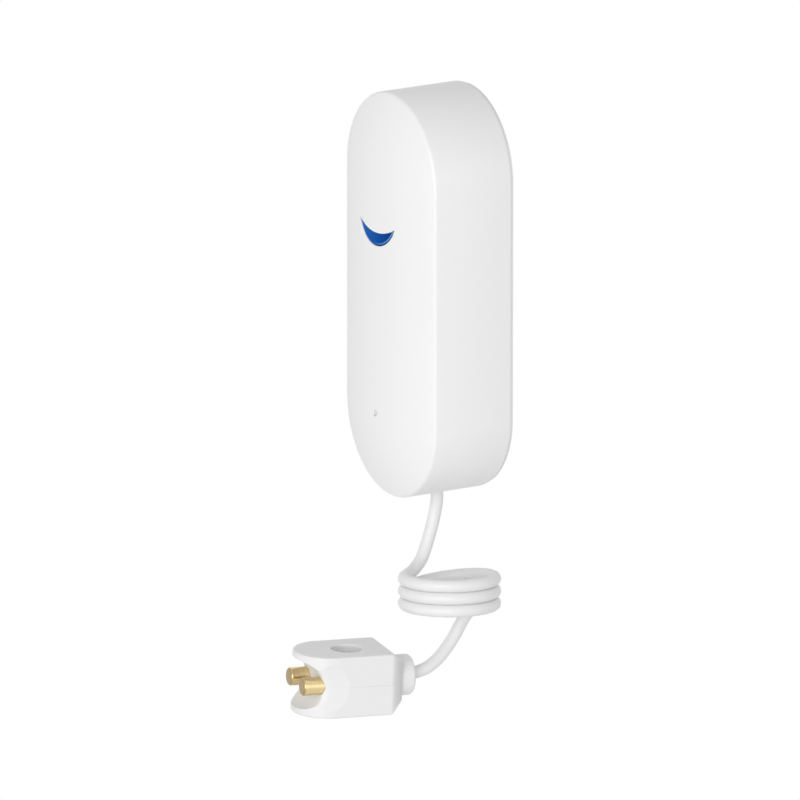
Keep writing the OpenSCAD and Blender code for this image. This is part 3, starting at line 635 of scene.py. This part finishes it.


# Turned brass under gold plate: fine rings round the pin, and a tip painted darker as a painted dark
# reflection, with a rougher, duller shine
def gold_plate():
    material, tree, surface = fresh("gold_plated_brass_turned")
    place = add(tree, "ShaderNodeTexCoord").outputs["Object"]
    lie = add(tree, "ShaderNodeMapping", {"Vector": place, "Location": PROBE.translation * MM,
                                          "Rotation": (0, -PROBE_PITCH, PROBE_YAW), "Scale": (1, 12, 12)},
              vector_type="TEXTURE")
    rings = add(tree, "ShaderNodeTexNoise", {"Vector": lie.outputs["Vector"], "Scale": PER_METRE / RING_MM,
                                             "Detail": 3})
    along = add(tree, "ShaderNodeSeparateXYZ", {"Vector": lie.outputs["Vector"]}).outputs["X"]
    tip = add(tree, "ShaderNodeMapRange", {"Value": along, "From Min": (PIN_TIP_X - DARK_TIP_FROM) * MM,
                                           "From Max": (PIN_TIP_X - DARK_TIP_FULL) * MM, "To Max": 0.75})
    tint = add(tree, "ShaderNodeMix", {0: rings.outputs["Fac"], 6: linear("#E8D5A8"), 7: linear("#D6BD8A")},
               data_type="RGBA")
    # Painted dark reflection: the gold darkens towards the tip of the pin
    painted_dark_tip = add(tree, "ShaderNodeMix", {0: tip.outputs["Result"], 6: tint.outputs[2], 7: linear("#8C7448")},
               data_type="RGBA")
    rise = add(tree, "ShaderNodeBump", {"Height": rings.outputs["Fac"], "Strength": 0.4,
                                        "Distance": RING_RISE * MM})
    sheen = add(tree, "ShaderNodeMapRange", {"Value": tip.outputs["Result"], "To Min": 0.16, "To Max": 0.34})
    join(tree, surface, painted_dark_tip.outputs[2], sheen.outputs["Result"], rise.outputs["Normal"])
    surface.inputs["Metallic"].default_value = 1
    return material


# Body: near white, with a soft even sheen
white_abs = moulded("white_abs_satin_moulded", "#F3F3F3", "#EFEFEF", 0.42, 0.35, 0.004)
# Probe head: the same plastic as the body, painted a shade greyer as painted shade, and duller
probe_abs_painted_shade = moulded("white_abs_probe_painted_shade", "#ECECEC", "#E7E7E7", 0.45, 0.4, 0.006)
# Wall plate and rear cover: a coarser grain that takes the shine off
cover_abs = moulded("white_abs_eroded_texture", "#E6E6E6", "#E0E0E0", 0.58, 0.5, 0.012)
# Lead, collar and grommet: smooth and white, with a tighter highlight along the round
jacket_pvc = moulded("white_pvc_extruded", "#EDEDED", "#E8E8E8", 0.38, 0.8, 0.003, ior=1.53, drift_mm=12)
# Battery tray, switch and clamp: dark, with a dull sheen
dark_nylon = moulded("dark_nylon_moulded", "#2C2E31", "#232528", 0.5, 0.4, 0.006)
# Board: green lacquer that shines and shows what lies under it as faint patches
board_mask = moulded("green_solder_mask", "#1E5B3C", "#174A30", 0.3, 1.2, 0.01, drift_mm=6)
# Cells: a tight dark film with slow ripples in its shine
cell_sleeve = moulded("cell_sleeve_shrunk_film", "#3A4148", "#333A40", 0.32, 3, 0.004, drift_mm=20)
# Wires: red and half glossy
lead_pvc = moulded("red_pvc_extruded", "#B03A30", "#A0332A", 0.4, 0.6, 0.003)
# Pad: grey, pitted and without shine
foam = moulded("grey_acrylic_foam", "#8E9296", "#82868A", 0.85, 0.35, 0.03, drift_mm=4)
# Seal: grey and dull
seal_rubber = moulded("grey_silicone_moulded", "#6E7276", "#65696D", 0.6, 0.5, 0.004)
# Antenna, status LED and header: ivory and dense, with a low sheen
ceramic = moulded("ivory_ceramic_fired", "#E8E4DA", "#E0DBCF", 0.45, 0.5, 0.004)
# Pins
gold = gold_plate()
# Screws: a cool grey with fine streaks
zinc = worked_metal("zinc_plated_steel", "#C4C7CA", "#B2B6BA", 0.32, 0.4, 0.004)
# Contacts and radio shield: paler and softer in shine
tin = worked_metal("tinned_steel_pressed", "#CBCDCF", "#BDC0C3", 0.36, 0.6, 0.004)
# Lens
lens_blue = blue_acrylic()

FINISH = {"white_abs": white_abs, "plate_abs": cover_abs, "lens_acrylic": lens_blue,
          "silicone_seal": seal_rubber, "zinc_steel": zinc, "tinned_steel": tin, "gold_plate": gold,
          "board_laminate": board_mask, "cell_jacket": cell_sleeve, "dark_nylon": dark_nylon,
          "lead_insulation": lead_pvc, "lead_jacket": jacket_pvc, "foam_tape": foam, "ceramic": ceramic}


def paint(piece, material):
    piece.data.materials.clear()
    piece.data.materials.append(material)


for subpart in frame["record"]["subparts"]:
    paint(frame["nodes"][subpart["node"]], FINISH[subpart["material_slot"]])
for piece in (shell, lead, collar, lens, grommet, cover, plate, cover_fixings, *pins):
    paint(piece, FINISH[piece["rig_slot"]])
# The probe halves take the copy of the body plastic that is painted greyer as painted shade
for piece in (upper_half, lower_half):
    paint(piece, probe_abs_painted_shade)


# Studio: a pale floor well below, soft boxes, and a white surround. Its sizes are in metres

FLOOR_Z = -0.3
FLOOR_SIZE = 1
FLOOR_WHITE = 0.9
FADE_FROM = 0.15
FADE_TO = 0.45
ROOM = 0.56
BOX_DISTANCE = 1.5
BOX_SIZE = 1.0
# Azimuth and elevation in degrees, and power in watts
SOFT_BOXES = {"key_box": (45, 10, 8.7), "front_box": (15, 5, 3.2), "side_box": (115, 5, 2)}


def soft_box(name, azimuth, elevation, watts):
    away = axes(math.radians(azimuth), math.radians(elevation))[2]
    data = bpy.data.lights.new(name, "AREA")
    data.shape = "SQUARE"
    data.size = BOX_SIZE
    data.energy = watts
    lamp = bpy.data.objects.new(name, data)
    turn = away.to_track_quat("Z", "Y").to_matrix().to_4x4()
    lamp.matrix_world = Matrix.Translation(away * BOX_DISTANCE) @ turn
    bpy.context.scene.collection.objects.link(lamp)


def white_to_the_eye(tree):
    path = add(tree, "ShaderNodeLightPath")
    seen = add(tree, "ShaderNodeMath", {0: path.outputs["Is Camera Ray"], 1: path.outputs["Is Glossy Ray"]},
               operation="MAXIMUM")
    return add(tree, "ShaderNodeMath", {0: seen.outputs[0], 1: path.outputs["Is Transmission Ray"]},
               operation="MAXIMUM")


# Floor: pale and dull, keeps the shadow below the object, and fades to white before its own edge shows
def studio_floor():
    material, tree, surface = fresh("pale_studio_floor")
    surface.inputs["Base Color"].default_value = linear("#F0F0F0")
    surface.inputs["Roughness"].default_value = 0.9
    glow = add(tree, "ShaderNodeEmission", {"Color": linear("#FFFFFF"), "Strength": 1})
    place = add(tree, "ShaderNodeTexCoord").outputs["Object"]
    away = add(tree, "ShaderNodeVectorMath", {0: place, 1: (0, 0, FLOOR_Z)}, operation="DISTANCE")
    fade = add(tree, "ShaderNodeMapRange", {"Value": away.outputs["Value"], "From Min": FADE_FROM,
                                            "From Max": FADE_TO, "To Min": FLOOR_WHITE, "To Max": 1})
    seen = white_to_the_eye(tree)
    share = add(tree, "ShaderNodeMath", {0: seen.outputs[0], 1: fade.outputs["Result"]}, operation="MULTIPLY")
    mix = add(tree, "ShaderNodeMixShader", {0: share.outputs[0], 1: surface.outputs[0], 2: glow.outputs[0]})
    tree.links.new(mix.outputs[0], tree.nodes["Material Output"].inputs["Surface"])
    return material


def make_studio():
    deselect_all()
    bpy.ops.mesh.primitive_plane_add(size=FLOOR_SIZE, location=(0, 0, FLOOR_Z))
    floor = named("studio_floor")
    paint(floor, studio_floor())
    world = bpy.data.worlds.new("white_surround")
    bpy.context.scene.world = world
    world.use_nodes = True
    tree = world.node_tree
    tree.nodes.clear()
    room = add(tree, "ShaderNodeBackground", {"Color": linear("#FFFFFF"), "Strength": ROOM})
    backdrop = add(tree, "ShaderNodeBackground", {"Color": linear("#FFFFFF"), "Strength": 1})
    mix = add(tree, "ShaderNodeMixShader", {0: white_to_the_eye(tree).outputs[0], 1: room.outputs[0],
                                            2: backdrop.outputs[0]})
    add(tree, "ShaderNodeOutputWorld", {"Surface": mix.outputs[0]})
    for name, settings in SOFT_BOXES.items():
        soft_box(name, *settings)


make_studio()
bpy.context.scene.view_settings.view_transform = "Standard"
